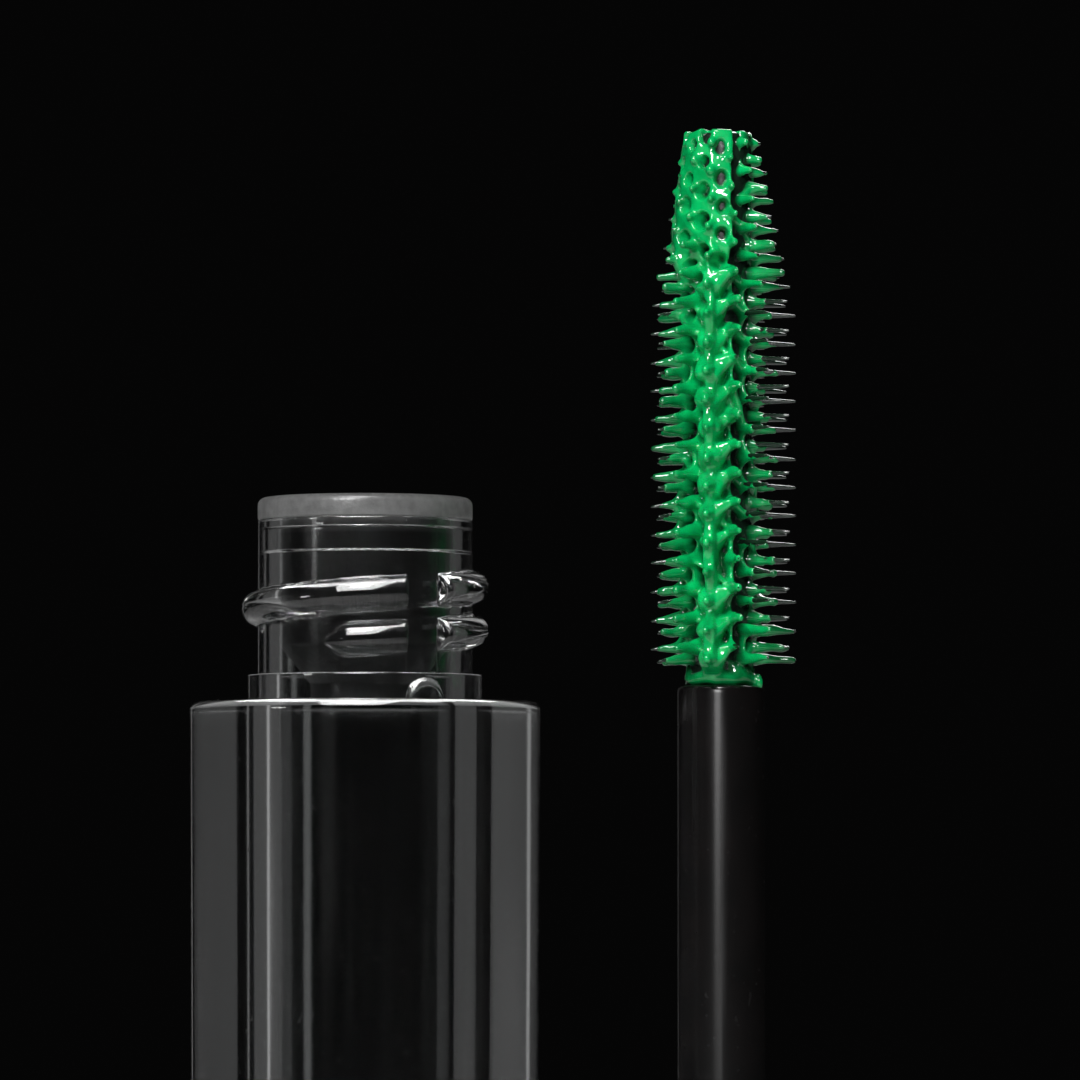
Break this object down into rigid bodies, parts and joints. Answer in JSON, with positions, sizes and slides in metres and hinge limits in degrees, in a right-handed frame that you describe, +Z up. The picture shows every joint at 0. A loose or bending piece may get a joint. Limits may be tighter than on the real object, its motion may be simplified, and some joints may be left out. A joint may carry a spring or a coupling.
{
  "type": "mascara tube",
  "caption": "Open mascara: a thick clear bottle with wiper, and its brush wand standing upside down on its cap beside it.",
  "frame": {"origin": "centre of the bottle's flat base, on the surface that the bottle and the wand's cap stand on", "axes": "+Z up along the bottle's axis and out of its mouth, -Y the front, +X towards the wand"},
  "size_m": [0.0371, 0.0184, 0.093],
  "materials": {
    "clear_plastic": "thick clear plastic with a smoke tint, polished",
    "wiper_plastic": "milky translucent soft plastic",
    "cap_plastic": "black, polished",
    "insert_plastic": "black, as moulded",
    "liner_foam": "white foamed sealing disc",
    "stem_plastic": "black, polished",
    "brush_plastic": "black elastomer, glossy when wet",
    "product": "wet green cream"
  },
  "bodies": {
    "bottle": {"bottle": "clear_plastic", "wiper": "wiper_plastic"},
    "liner": {"cap_liner": "liner_foam"},
    "wand": {"outer_cap": "cap_plastic", "inner_cap": "insert_plastic", "stem": "stem_plastic", "brush": "brush_plastic", "product_coat": "product"}
  },
  "joints": [
    {"name": "wand_lift", "type": "slide", "parent": "bottle", "child": "liner", "axis": [0, 0, 1], "range_m": [0, 0.066]},
    {"name": "cap_turn", "type": "hinge", "parent": "liner", "child": "wand", "pos_m": [0.0187, 0, 0], "axis": [0, 0, 1], "range_deg": [0, 540]}
  ]
}
